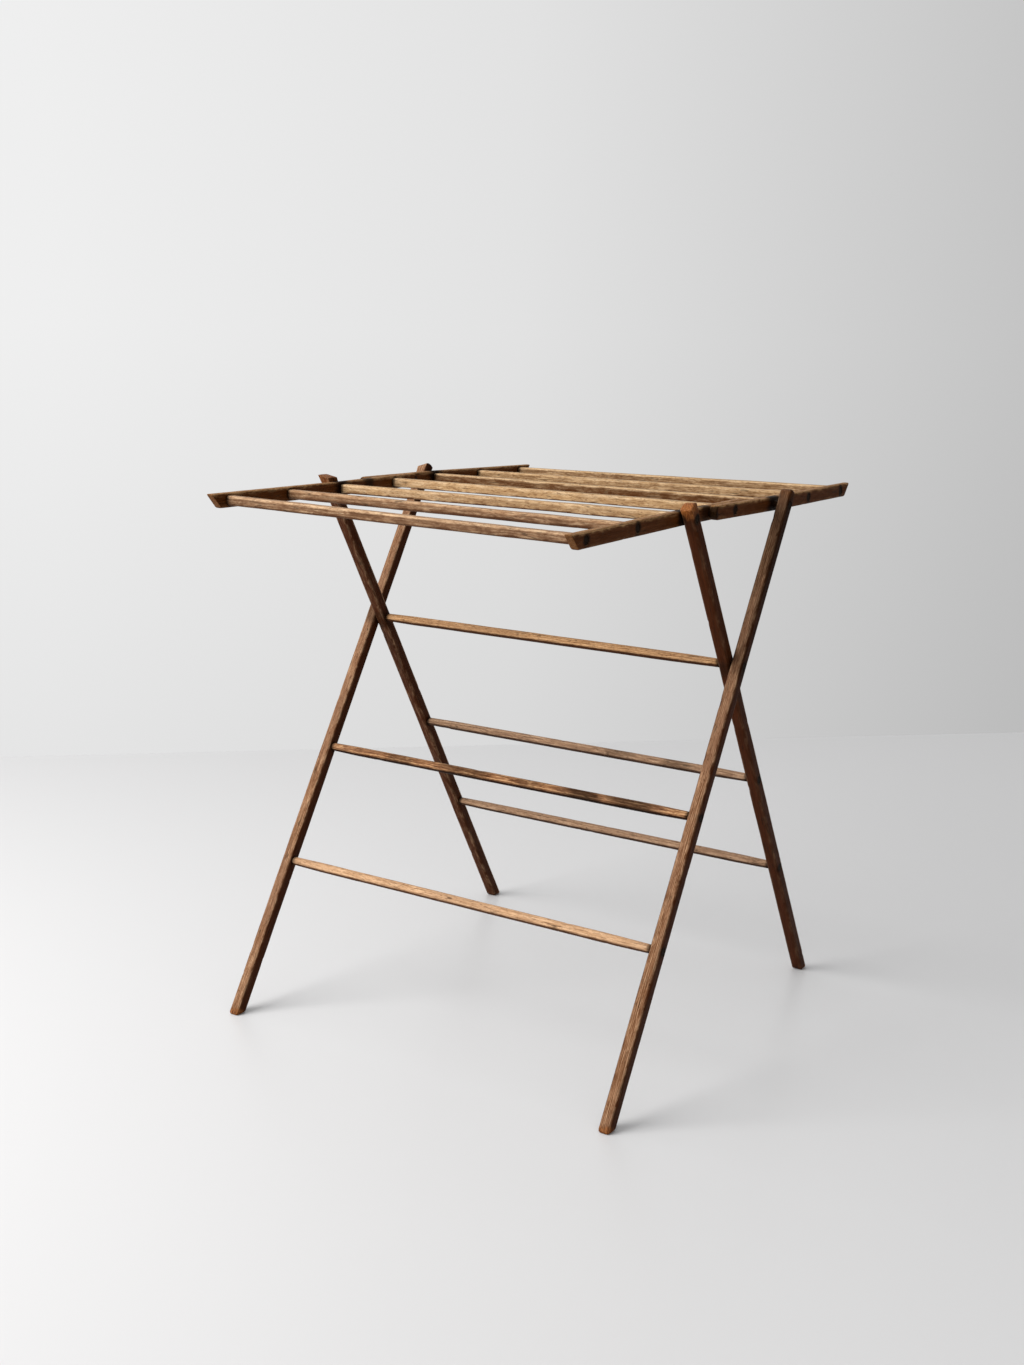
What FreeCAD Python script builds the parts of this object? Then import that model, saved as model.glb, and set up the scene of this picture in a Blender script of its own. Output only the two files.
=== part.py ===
import FreeCAD, Part
import os
import Sketcher
from FreeCAD import Vector

# A folding wooden clothes drying rack: two crossed leg frames and a top in two hinged halves.
# +X runs along the rungs, +Y to the rear, +Z up. The origin is on the floor, at the middle.
# On each side the wood lies in three layers, from the inside out: the front rail, then the
# inner leg and the rear rail, then the outer leg.

SIZES = [
    ("inner_width", 640, "clear width between the two front rails"),
    ("side_gap", 0.6, "gap between neighbouring layers of wood"),
    ("rail_thickness", 14, "rail, across the rack"),
    ("rail_height", 24, "rail, top to bottom"),
    ("rail_round", 3, "rounding of the rail's long edges"),
    ("rail_overhang", 40, "rail beyond its last rung"),
    ("rail_undercut", 22, "how far the rail's outer end slopes back under its tip"),
    ("overlap_share", 0.466, "rail beyond the hinge, as a share of its distance to the leg pivot"),
    ("rung_pitch", 144.5, "spacing of the outer top rungs"),
    ("leg_thickness", 21, "leg, across the rack"),
    ("leg_width", 22, "leg, across its length"),
    ("leg_round", 6, "rounding of the leg's long edges"),
    ("foot_chamfer", 2, "bevel round the sole of a foot"),
    ("leg_head", 27, "leg above its upper pivot"),
    ("leg_crown", 5, "rise of the rounded top of a leg"),
    ("foot_spread", 383, "floor distance from the middle to a foot"),
    ("cross_height", 644, "height of the pivot where the legs cross"),
    ("top_height", 889.5, "height of the pivots between legs and rails"),
    ("centre_rise", 1.2, "hinge of the top above the line of those pivots"),
    ("upper_rung_height", 424, "height of the upper leg rungs"),
    ("lower_rung_height", 239, "height of the lower leg rungs"),
    ("leg_rung_diameter", 17, "turned leg rung at its middle"),
    ("leg_rung_end", 15, "turned leg rung at its shoulder"),
    ("leg_rung_taper", 60, "length of the taper at each end of a leg rung"),
    ("top_rung_width", 18, "top rung, front to back"),
    ("top_rung_height", 17, "top rung, top to bottom"),
    ("top_rung_round", 5, "rounding of the top rung's long edges"),
    ("shoulder_chamfer", 1.5, "bevel round the shoulders of a top rung"),
    ("tenon_diameter", 12, "round tenon at each end of every rung"),
    ("glue_gap", 0.04, "radial gap of a glued tenon"),
    ("turning_gap", 0.09, "radial gap of a tenon that turns in its hole"),
    ("shoulder_gap", 0.4, "end play between a turning rail or leg and a rung's shoulder"),
    ("round_share", 0.45, "largest rounding, as a share of the wood it is cut in"),
    ("bevel_share", 0.4, "largest shoulder bevel, as a share of the step down to the tenon"),
]

# Lengths and angles that follow from the sizes above.
LAYOUT = [
    ("lean", "=atan(Sizes.foot_spread / Sizes.cross_height)"),
    ("leg_below", "=Sizes.cross_height / cos(lean)"),
    ("leg_above", "=(Sizes.top_height - Sizes.cross_height) / cos(lean)"),
    ("upper_drop", "=(Sizes.cross_height - Sizes.upper_rung_height) / cos(lean)"),
    ("lower_drop", "=(Sizes.cross_height - Sizes.lower_rung_height) / cos(lean)"),
    ("pivot_offset", "=leg_above * sin(lean)"),
    ("tilt", "=atan(Sizes.centre_rise / pivot_offset)"),
    ("hinge_to_pivot", "=pivot_offset / cos(tilt)"),
    ("hinge_overlap", "=Sizes.overlap_share * hinge_to_pivot"),
    ("middle_rung_reach", "=hinge_to_pivot + Sizes.rung_pitch"),
    ("edge_rung_reach", "=hinge_to_pivot + 2 * Sizes.rung_pitch"),
    ("rail_reach", "=edge_rung_reach + Sizes.rail_overhang"),
    ("hinge_height", "=Sizes.top_height + Sizes.centre_rise"),
    ("front_rail_in", "=Sizes.inner_width / 2"),
    ("front_rail_out", "=front_rail_in + Sizes.rail_thickness"),
    ("middle_layer_in", "=front_rail_out + Sizes.side_gap"),
    ("inner_leg_out", "=middle_layer_in + Sizes.leg_thickness"),
    ("rear_rail_out", "=middle_layer_in + Sizes.rail_thickness"),
    ("outer_leg_in", "=max(inner_leg_out; rear_rail_out) + Sizes.side_gap"),
    ("outer_leg_out", "=outer_leg_in + Sizes.leg_thickness"),
]

LEFT = "left"
RIGHT = "right"
FULL_TURN = 360
TOLERANCE = 1e-4

doc = FreeCAD.newDocument("drying_rack")


def fill_sheet(name, rows):
    """A spreadsheet with one aliased value per row."""
    sheet = doc.addObject("Spreadsheet::Sheet", name)
    for number, row in enumerate(rows, start=1):
        sheet.set("A%d" % number, row[0])
        sheet.set("B%d" % number, str(row[1]))
        sheet.setAlias("B%d" % number, row[0])
        if len(row) > 2:
            sheet.set("C%d" % number, row[2])
    doc.recompute()
    return sheet


fill_sheet("Sizes", SIZES)
fill_sheet("Layout", LAYOUT)


# ---------------------------------------------------------------- sketch and feature helpers

def new_body(name):
    body = doc.addObject("PartDesign::Body", name)
    body.Label = name
    return body


def new_sketch(body, role, name):
    """A sketch on one of the body's own origin planes."""
    plane = [item for item in body.Origin.OriginFeatures if item.Role == role][0]
    sketch = body.newObject("Sketcher::SketchObject", name)
    sketch.AttachmentSupport = (plane, "")
    sketch.MapMode = "FlatFace"
    return sketch


def value_of(expression):
    """What an expression gives now, used only as a sketch's first guess."""
    sketch_value = doc.Sizes.evalExpression(expression)
    return float(getattr(sketch_value, "Value", sketch_value))


def pin_point(sketch, geometry, end, across, up):
    """Tie a point of the sketch to two expressions, measured from the sketch's origin."""
    for kind, expression in (("DistanceX", across), ("DistanceY", up)):
        number = sketch.addConstraint(
            Sketcher.Constraint(kind, -1, 1, geometry, end, value_of(expression)))
        sketch.setExpression("Constraints[%d]" % number, expression)


def outline(sketch, corners, bulges=None):
    """A closed outline through corners given as pairs of expressions.

    bulges maps a side's number to the point, again two expressions, that its arc passes."""
    bulges = bulges or {}
    points = [Vector(value_of(across), value_of(up), 0) for across, up in corners]
    sides = len(points)
    for side in range(sides):
        start = points[side]
        end = points[(side + 1) % sides]
        if side in bulges:
            middle = Vector(value_of(bulges[side][0]), value_of(bulges[side][1]), 0)
            sketch.addGeometry(Part.Arc(start, middle, end))
        else:
            sketch.addGeometry(Part.LineSegment(start, end))
    for side in range(sides):
        geometry = sketch.Geometry[side]
        following = (side + 1) % sides
        end = end_at(geometry, points[following])
        start = end_at(sketch.Geometry[following], points[following])
        sketch.addConstraint(Sketcher.Constraint("Coincident", side, end, following, start))
    for side in range(sides):
        pin_point(sketch, side, end_at(sketch.Geometry[side], points[side]), *corners[side])
        if side in bulges:
            mark = sketch.addGeometry(Part.Point(sketch_middle(sketch.Geometry[side])), True)
            sketch.addConstraint(Sketcher.Constraint("PointOnObject", mark, 1, side))
            pin_point(sketch, mark, 1, *bulges[side])


def sketch_middle(curve):
    return curve.value((curve.FirstParameter + curve.LastParameter) / 2)


def end_at(curve, point):
    """Which end of a line or arc lies at a point: 1 for its start, 2 for its end."""
    return 1 if curve.StartPoint.distanceToPoint(point) < TOLERANCE else 2


def circle(sketch, across, up, radius):
    """A circle with its centre and radius tied to expressions."""
    centre = Vector(value_of(across), value_of(up), 0)
    number = sketch.addGeometry(Part.Circle(centre, Vector(0, 0, 1), value_of(radius)))
    pin_point(sketch, number, 3, across, up)
    size = sketch.addConstraint(Sketcher.Constraint("Radius", number, value_of(radius)))
    sketch.setExpression("Constraints[%d]" % size, radius)


def pad(body, sketch, length, name, side_type="One side"):
    feature = body.newObject("PartDesign::Pad", name)
    feature.Profile = sketch
    feature.SideType = side_type
    feature.setExpression("Length", length)
    doc.recompute()
    return feature


def bore_through(body, name, holes):
    """Round holes right through a leg or rail. holes lists (place along it, radius)."""
    before = body.Shape.Volume
    sketch = new_sketch(body, "YZ_Plane", name + "_sketch")
    for place, radius, along_y in holes:
        circle(sketch, place if along_y else "0", "0" if along_y else place, radius)
    feature = body.newObject("PartDesign::Pocket", name)
    feature.Profile = sketch
    feature.Type = "ThroughAll"
    feature.SideType = "Symmetric"
    doc.recompute()
    if body.Shape.Volume >= before:
        raise ValueError(body.Label + ": the holes cut nothing")


def dress(body, kind, name, chosen, size_name, size):
    """A fillet or chamfer on the edges of the tip that chosen(edge) accepts."""
    tip = body.Tip
    names = ["Edge%d" % (number + 1) for number, edge in enumerate(tip.Shape.Edges)
             if chosen(edge)]
    if not names:
        raise ValueError(body.Label + ": no edge for " + name)
    feature = body.newObject("PartDesign::" + kind, name)
    feature.Base = (tip, names)
    feature.setExpression(size_name, size)
    doc.recompute()


def runs_along(direction):
    """Accepts straight edges that run along a direction."""
    def chosen(edge):
        if edge.Curve.TypeId != "Part::GeomLine":
            return False
        return edge.tangentAt(edge.FirstParameter).cross(direction).Length < TOLERANCE
    return chosen


# ---------------------------------------------------------------- the kinds of piece

FIXED_HOLE = "Sizes.tenon_diameter / 2 + Sizes.glue_gap"
TURNING_HOLE = "Sizes.tenon_diameter / 2 + Sizes.turning_gap"


def leg(name, cross_hole):
    """A leg, drawn upright with its crossing pivot at the origin, and cut level at the floor."""
    body = new_body(name)
    half = "Sizes.leg_width / 2"
    head = "Layout.leg_above + Sizes.leg_head - Sizes.leg_crown"
    sole = "-Layout.leg_below %s Sizes.leg_width / 2 * tan(Layout.lean)"
    side = new_sketch(body, "YZ_Plane", name + "_side")
    outline(side,
            [("-" + half, sole % "-"), (half, sole % "+"), (half, head), ("-" + half, head)],
            {2: ("0", head + " + Sizes.leg_crown")})
    pad(body, side, "Sizes.leg_thickness", name + "_bar")
    dress(body, "Fillet", name + "_edges", runs_along(Vector(0, 0, 1)), "Radius",
          "min(Sizes.leg_round; Sizes.round_share * min(Sizes.leg_thickness; Sizes.leg_width))")
    dress(body, "Chamfer", name + "_foot", on_sole(body), "Size", "Sizes.foot_chamfer")
    bore_through(body, name + "_holes", [
        ("0", cross_hole, False),
        ("Layout.leg_above", FIXED_HOLE, False),
        ("-Layout.upper_drop", FIXED_HOLE, False),
        ("-Layout.lower_drop", FIXED_HOLE, False),
    ])
    return body


def on_sole(body):
    """Accepts the edges round a leg's sole, its lowest flat face."""
    soles = [face for face in body.Tip.Shape.Faces if face.Surface.TypeId == "Part::GeomPlane"]
    sole = min(soles, key=lambda face: face.CenterOfMass.z)

    def chosen(edge):
        return any(edge.isSame(border) for border in sole.Edges)
    return chosen


def rail(name, hinge_hole):
    """A rail, with its hinge hole at the origin and its outer end towards +Y."""
    body = new_body(name)
    half = "Sizes.rail_height / 2"
    neck = "Sizes.rail_height / 2 - Layout.hinge_overlap"
    side = new_sketch(body, "YZ_Plane", name + "_side")
    outline(side,
            [(neck, "-" + half), ("Layout.rail_reach - Sizes.rail_undercut", "-" + half),
             ("Layout.rail_reach", half), (neck, half)],
            {3: ("-Layout.hinge_overlap", "0")})
    pad(body, side, "Sizes.rail_thickness", name + "_bar")
    dress(body, "Fillet", name + "_edges", on_side_faces(body), "Radius",
          "min(Sizes.rail_round; Sizes.round_share * Sizes.rail_thickness)")
    bore_through(body, name + "_holes", [
        ("0", hinge_hole, True),
        ("Layout.hinge_to_pivot", TURNING_HOLE, True),
        ("Layout.middle_rung_reach", FIXED_HOLE, True),
        ("Layout.edge_rung_reach", FIXED_HOLE, True),
    ])
    return body


def on_side_faces(body):
    """Accepts the edges round a rail's two side faces, except at its undercut end."""
    def chosen(edge):
        straight = edge.Curve.TypeId == "Part::GeomLine"
        direction = edge.tangentAt(edge.FirstParameter)
        across = abs(direction.x) > TOLERANCE
        slanted = straight and min(abs(direction.y), abs(direction.z)) > TOLERANCE
        return not across and not slanted
    return chosen


def leg_rung(name, shoulder, tip):
    """A turned rung along X, tapered at both ends down to its shoulders, with round tenons."""
    body = new_body(name)
    profile = new_sketch(body, "XY_Plane", name + "_profile")
    tenon = "Sizes.tenon_diameter / 2"
    end = "Sizes.leg_rung_end / 2"
    belly = "Sizes.leg_rung_diameter / 2"
    shoulder = "(%s)" % shoulder
    taper = shoulder + " - Sizes.leg_rung_taper"
    outline(profile, [
        ("-" + tip, "0"), (tip, "0"), (tip, tenon), (shoulder, tenon), (shoulder, end),
        (taper, belly), ("-(%s)" % taper, belly), ("-" + shoulder, end),
        ("-" + shoulder, tenon), ("-" + tip, tenon),
    ])
    turned = body.newObject("PartDesign::Revolution", name + "_turned")
    turned.Profile = profile
    turned.ReferenceAxis = (profile, ["H_Axis"])
    turned.Angle = FULL_TURN
    doc.recompute()
    return body


def top_rung(name, shoulder, tip):
    """A stout squarish rung along X with rounded edges and round tenons."""
    body = new_body(name)
    shoulder = "(%s)" % shoulder
    core = new_sketch(body, "YZ_Plane", name + "_tenons")
    circle(core, "0", "0", "Sizes.tenon_diameter / 2")
    pad(body, core, "2 * " + tip, name + "_core", "Symmetric")
    half_width = "Sizes.top_rung_width / 2"
    half_height = "Sizes.top_rung_height / 2"
    section = new_sketch(body, "YZ_Plane", name + "_section")
    outline(section, [
        ("-" + half_width, "-" + half_height), (half_width, "-" + half_height),
        (half_width, half_height), ("-" + half_width, half_height),
    ])
    pad(body, section, "2 * " + shoulder, name + "_bar", "Symmetric")
    dress(body, "Fillet", name + "_edges", runs_along(Vector(1, 0, 0)), "Radius",
          "min(Sizes.top_rung_round;"
          " Sizes.round_share * min(Sizes.top_rung_width; Sizes.top_rung_height))")
    dress(body, "Chamfer", name + "_ends", on_shoulders(shoulder), "Size",
          "min(Sizes.shoulder_chamfer;"
          " Sizes.bevel_share * (Sizes.top_rung_height - Sizes.tenon_diameter))")
    return body


def on_shoulders(shoulder):
    """Accepts the outer edges of a top rung's two shoulders."""
    reach = value_of(shoulder)
    tenon_radius = value_of("Sizes.tenon_diameter / 2")

    def chosen(edge):
        box = edge.BoundBox
        level = abs(abs(box.XMin) - reach) < TOLERANCE and box.XLength < TOLERANCE
        middle = edge.valueAt((edge.FirstParameter + edge.LastParameter) / 2)
        return level and Vector(0, middle.y, middle.z).Length > tenon_radius + TOLERANCE
    return chosen


def place(piece, across, along, up, turn="0", about_face=False):
    """Put a piece at a point, turned about X, after an about-face round Z if asked."""
    rotation = "rotation(vector(1; 0; 0); %s)" % turn
    if about_face:
        rotation += " * rotation(vector(0; 0; 1); 180)"
    piece.setExpression("Placement", "placement(vector(%s; %s; %s); %s)"
                        % (across, along, up, rotation))


# ---------------------------------------------------------------- the four legs

def make_legs():
    """Outer legs lean back, inner legs are the same piece turned about and lean forwards."""
    made = []
    for side in (LEFT, RIGHT):
        outer = leg("outer_leg_" + side, FIXED_HOLE)
        edge = "Layout.outer_leg_in" if side == RIGHT else "-Layout.outer_leg_out"
        place(outer, edge, "0", "Sizes.cross_height", "-Layout.lean")
        inner = leg("inner_leg_" + side, TURNING_HOLE)
        edge = "Layout.inner_leg_out" if side == RIGHT else "-Layout.middle_layer_in"
        place(inner, edge, "0", "Sizes.cross_height", "Layout.lean", about_face=True)
        made += [outer, inner]
    return made


# ---------------------------------------------------------------- the four rails

def make_rails():
    """Rear rails run back from the hinge, front rails are the same piece turned about."""
    made = []
    for side in (LEFT, RIGHT):
        rear = rail("rear_rail_" + side, FIXED_HOLE)
        edge = "Layout.middle_layer_in" if side == RIGHT else "-Layout.rear_rail_out"
        place(rear, edge, "0", "Layout.hinge_height", "-Layout.tilt")
        front = rail("front_rail_" + side, FIXED_HOLE)
        edge = "Layout.front_rail_out" if side == RIGHT else "-Layout.front_rail_in"
        place(front, edge, "0", "Layout.hinge_height", "Layout.tilt", about_face=True)
        made += [rear, front]
    return made


# ---------------------------------------------------------------- the rungs of the legs

def make_leg_rungs():
    """Two rungs in each pair of legs, and the rung that the legs cross on."""
    made = []
    for height in ("upper", "lower"):
        drop = "Layout.%s_drop * sin(Layout.lean)" % height
        level = "Sizes.%s_rung_height" % height
        front = leg_rung("outer_leg_%s_rung" % height, "Layout.outer_leg_in",
                         "Layout.outer_leg_out")
        place(front, "0", "-" + drop, level)
        back = leg_rung("inner_leg_%s_rung" % height, "Layout.middle_layer_in",
                        "Layout.inner_leg_out")
        place(back, "0", drop, level)
        made += [front, back]
    cross = leg_rung("leg_pivot_rung", "Layout.middle_layer_in - Sizes.shoulder_gap",
                     "Layout.outer_leg_out")
    place(cross, "0", "0", "Sizes.cross_height")
    return made + [cross]


# ---------------------------------------------------------------- the rungs of the top

def make_top_rungs():
    """Seven rungs. The pivot rungs are held by the legs, and the rails turn on them."""
    front_in = "Layout.front_rail_in"
    rear_in = "Layout.middle_layer_in"
    turning = " - Sizes.shoulder_gap"
    made = []
    for name in ("middle", "edge"):
        reach = "Layout.%s_rung_reach" % name
        front = top_rung("front_%s_rung" % name, front_in, "Layout.front_rail_out")
        rear = top_rung("rear_%s_rung" % name, rear_in, "Layout.rear_rail_out")
        level = "Layout.hinge_height - %s * sin(Layout.tilt)" % reach
        place(front, "0", "-%s * cos(Layout.tilt)" % reach, level, "Layout.tilt")
        place(rear, "0", "%s * cos(Layout.tilt)" % reach, level, "-Layout.tilt")
        made += [front, rear]
    front_pivot = top_rung("front_pivot_rung", front_in + turning, "Layout.inner_leg_out")
    place(front_pivot, "0", "-Layout.pivot_offset", "Sizes.top_height")
    rear_pivot = top_rung("rear_pivot_rung", rear_in + turning, "Layout.outer_leg_out")
    place(rear_pivot, "0", "Layout.pivot_offset", "Sizes.top_height")
    hinge = top_rung("hinge_rung", front_in, "Layout.front_rail_out")
    place(hinge, "0", "0", "Layout.hinge_height", "Layout.tilt")
    return made + [front_pivot, rear_pivot, hinge]


def make_hinge_tenons():
    """The outermost length of the hinge rung's tenons, which fills the rear rails' holes."""
    made = []
    for side in (LEFT, RIGHT):
        name = "hinge_tenon_" + side
        tenon = doc.addObject("Part::Cylinder", name)
        tenon.Label = name
        tenon.setExpression("Radius", "Sizes.tenon_diameter / 2")
        tenon.setExpression("Height", "Sizes.rail_thickness")
        edge = "Layout.middle_layer_in" if side == RIGHT else "-Layout.rear_rail_out"
        tenon.setExpression("Placement", "placement(vector(%s; 0; Layout.hinge_height); "
                            "rotation(vector(0; 1; 0); 90))" % edge)
        made.append(tenon)
    return made


pieces = make_legs() + make_rails() + make_leg_rungs() + make_top_rungs() + make_hinge_tenons()
doc.recompute()

for item in doc.Objects:
    if "Invalid" in item.State or "Error" in item.State:
        raise ValueError("%s is %s" % (item.Label, item.State))
for piece in pieces:
    if piece.Shape.isNull() or not piece.Shape.isValid() or len(piece.Shape.Solids) != 1:
        raise ValueError(piece.Label + " is not one valid solid")

os.makedirs("parts", exist_ok=True)
for piece in pieces:
    piece.Shape.exportStep("parts/%s.step" % piece.Label)
print("%d pieces" % len(pieces))
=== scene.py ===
"""The looks of a folding wooden clothes drying rack: worn, hand-worked, weathered wood.

Each stick of wood is built in its own coordinates: X along it, Z towards its top face
(the front face of a leg), Y across. Distances are in metres."""

import math
import random

import bmesh
import bpy
import numpy as np
from mathutils import Matrix, Vector, noise


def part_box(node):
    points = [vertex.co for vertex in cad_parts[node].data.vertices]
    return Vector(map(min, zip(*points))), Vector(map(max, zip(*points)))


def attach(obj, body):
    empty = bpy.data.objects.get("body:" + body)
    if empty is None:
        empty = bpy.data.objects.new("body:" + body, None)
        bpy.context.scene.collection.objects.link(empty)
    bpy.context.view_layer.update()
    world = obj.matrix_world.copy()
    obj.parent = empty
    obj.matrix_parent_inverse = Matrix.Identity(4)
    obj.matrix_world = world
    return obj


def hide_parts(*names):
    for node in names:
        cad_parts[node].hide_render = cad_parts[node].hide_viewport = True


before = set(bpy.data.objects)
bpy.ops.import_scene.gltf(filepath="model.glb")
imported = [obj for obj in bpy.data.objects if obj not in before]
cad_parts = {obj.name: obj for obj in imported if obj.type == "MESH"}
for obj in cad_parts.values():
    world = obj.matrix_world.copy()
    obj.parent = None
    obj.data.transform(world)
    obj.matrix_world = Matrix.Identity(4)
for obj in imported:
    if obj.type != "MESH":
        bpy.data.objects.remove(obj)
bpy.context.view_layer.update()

MM = 0.001
UP = Vector((0, 0, 1))
FRONT = Vector((0, -1, 0))
RIGHT = Vector((1, 0, 0))


# ---------------------------------------------------------------- places from the frame

def middle(node):
    low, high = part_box(node)
    return (low + high) / 2


def size(node):
    low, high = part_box(node)
    return high - low


CROSSING = middle("leg_pivot_rung")
FRONT_PIVOT = middle("front_pivot_rung")
REAR_PIVOT = middle("rear_pivot_rung")
HINGE = middle("hinge_rung")


def local_frame(origin, along, up):
    """The matrix of a stick's own coordinates: X along it and Z as near up as can be."""
    x = along.normalized()
    z = (up - up.dot(x) * x).normalized()
    y = z.cross(x)
    turn = Matrix((x, y, z)).transposed()
    return Matrix.Translation(origin) @ turn.to_4x4()


# ---------------------------------------------------------------- meshes of sticks of wood

STEP = 2.5 * MM  # from ring to ring along a stick
CORNER_STEPS = 4
FLAT_STEPS = 5
END_ROUND_STEPS = 3
CAP_RINGS = (0.82, 0.6, 0.38, 0.16)  # their sizes as shares of the end's outline
SHARP_ANGLE = math.radians(40)
LEAST_EDGE = 0.3 * MM
QUARTER_TURN = math.radians(90)
HALF_CORNER = math.radians(45)


def unit_section():
    """A rounded square, point by point: the core corner each one leans on, and its facing."""
    core, facing = [], []
    for quarter in range(4):
        start = QUARTER_TURN * quarter
        here = Vector((math.cos(start) - math.sin(start), math.sin(start) + math.cos(start)))
        following = Vector((-here.y, here.x))
        for step in range(CORNER_STEPS + 1):
            angle = start + QUARTER_TURN * step / CORNER_STEPS
            core.append(here)
            facing.append(angle)
        for step in range(1, FLAT_STEPS):
            core.append(here.lerp(following, step / FLAT_STEPS))
            facing.append(start + QUARTER_TURN)
    return np.array(core), np.array(facing)


CORE, FACING = unit_section()
FACING_Y, FACING_Z = np.cos(FACING), np.sin(FACING)
AROUND = len(FACING)


SEED_SPACING = 31.7  # how far apart two seeds read the noise


def noise_at(points, along, across, seed):
    """Noise from -1 to 1 at each point, with features this long along and across the wood."""
    shift = SEED_SPACING * seed
    return np.array([noise.noise((x / along + shift, y / across, z / across))
                     for x, y, z in points.reshape(-1, 3)]).reshape(points.shape[:-1])


class Stick:
    """The rings of one stick. Each ring has a place, half sizes, edge radius and roughness."""

    def __init__(self):
        self.rings = []

    def ring(self, place, half_y, half_z, radius, rough=1.0):
        self.rings.append((place, half_y, half_z, min(radius, half_y, half_z), rough))

    def run(self, start, end, sizes_at, rough=1.0):
        """Rings from start to end. sizes_at(place) gives half sizes and edge radius."""
        count = max(2, round(abs(end - start) / STEP))
        for number in range(count + 1):
            place = start + (end - start) * number / count
            self.ring(place, *sizes_at(place), rough)

    def round_end(self, place, direction, sizes, rounding, rough=1.0):
        """Rings that round the edge of an end at a place, which faces direction."""
        steps = range(END_ROUND_STEPS + 1)
        angles = [QUARTER_TURN * step / END_ROUND_STEPS for step in steps]
        if direction < 0:
            angles.reverse()
        half_y, half_z, radius = sizes
        for angle in angles:
            inset = rounding * (1 - math.cos(angle))
            back = rounding * (1 - math.sin(angle))
            self.ring(place - direction * back, half_y - inset, half_z - inset,
                      max(radius - inset, LEAST_EDGE), rough)


# sizes of the wood's unevenness, along and across it
LONG_WAVES = (70 * MM, 16 * MM)
SHORT_WAVES = (22 * MM, 8 * MM)
RAISED_GRAIN = (40 * MM, 1.7 * MM)
CHIP_LENGTH = (3, 11)  # in mm, least and most
CHIP_DEPTH = (0.35, 1.1)
CHIP_FOCUS = 8  # how closely a chip keeps to its edge
END_FADE = 30 * MM  # over this length a stick's rings take on the slope of its end


def shape_rings(stick, seed, waver, ridges, chips, start_at=None, end_at=None):
    """The points of a stick's rings, worn inwards.

    waver is how deep its waves are, ridges how deep its raised grain, and chips their number.
    start_at and end_at give the places of its ends across it."""
    table = np.array(stick.rings)
    place, half_y, half_z, radius, rough = (table[:, column, None] for column in range(5))
    y = CORE[:, 0] * (half_y - radius) + FACING_Y * radius
    z = CORE[:, 1] * (half_z - radius) + FACING_Z * radius
    x = place + 0 * y
    low, high = table[0, 0], table[-1, 0]
    points = np.stack((x, y, z), axis=-1)
    depth = waver * (0.5 + 0.5 * noise_at(points, *LONG_WAVES, seed))
    depth += 0.5 * waver * (0.5 + 0.5 * noise_at(points, *SHORT_WAVES, seed + 3))
    depth += ridges * (0.5 + 0.5 * noise_at(points, *RAISED_GRAIN, seed + 7))
    draw = random.Random(seed)
    for _ in range(chips):
        at = draw.uniform(low, high)
        corner = HALF_CORNER + QUARTER_TURN * draw.randrange(4)
        length = draw.uniform(*CHIP_LENGTH) * MM
        deep = draw.uniform(*CHIP_DEPTH) * MM
        across = np.clip(np.cos(FACING - corner), 0, 1) ** CHIP_FOCUS
        depth += deep * np.clip(1 - ((x - at) / length) ** 2, 0, 1) * across
    depth *= rough
    y -= FACING_Y * depth
    z -= FACING_Z * depth
    if start_at:
        x += (start_at(y, z) - low) * np.clip(1 - (x - low) / END_FADE, 0, 1)
    if end_at:
        x += (end_at(y, z) - high) * np.clip(1 - (high - x) / END_FADE, 0, 1)
    return np.stack((x, y, z), axis=-1)


def cap(ring, edge_at):
    """Smaller and smaller rings that close an end, and its middle point."""
    centre = ring.mean(axis=0)
    rings = []
    for share in CAP_RINGS + (0,):
        inner = centre + share * (ring - centre)
        if edge_at:
            inner[:, 0] = edge_at(inner[:, 1], inner[:, 2])
        rings.append(inner)
    return rings[:-1], rings[-1][0]


def mesh_from(name, points, start_at=None, end_at=None):
    """A closed mesh through rings of points, with rings on its end faces too."""
    start_rings, start_tip = cap(points[0], start_at)
    end_rings, end_tip = cap(points[-1], end_at)
    rings = start_rings[::-1] + list(points) + end_rings
    vertices = [tuple(point) for ring in rings for point in ring]
    faces = []
    for row in range(len(rings) - 1):
        for column in range(AROUND):
            following = (column + 1) % AROUND
            faces.append((row * AROUND + column, row * AROUND + following,
                          (row + 1) * AROUND + following, (row + 1) * AROUND + column))
    first, last = len(vertices), len(vertices) + 1
    vertices += [tuple(start_tip), tuple(end_tip)]
    base = (len(rings) - 1) * AROUND
    for column in range(AROUND):
        following = (column + 1) % AROUND
        faces.append((following, column, first))
        faces.append((base + column, base + following, last))
    mesh = bpy.data.meshes.new(name)
    mesh.from_pydata(vertices, [], faces)
    piece = bpy.data.objects.new(name, mesh)
    bpy.context.scene.collection.objects.link(piece)
    return piece


def worked(work):
    """Run bmesh code on a piece's mesh."""
    def on_piece(piece, *rest):
        mesh = bmesh.new()
        mesh.from_mesh(piece.data)
        work(mesh, *rest)
        mesh.to_mesh(piece.data)
        mesh.free()
    return on_piece


@worked
def finish_normals(mesh):
    """Faces point outwards, and only real edges are sharp."""
    bmesh.ops.recalc_face_normals(mesh, faces=mesh.faces)
    for face in mesh.faces:
        face.smooth = True
    for edge in mesh.edges:
        edge.smooth = len(edge.link_faces) == 2 and edge.calc_face_angle() < SHARP_ANGLE


BORE_POINTS = 32
BORE_UNEVEN = 0.02  # how far from round, as a share of the radius
BORE_LOBES = 3


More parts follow.
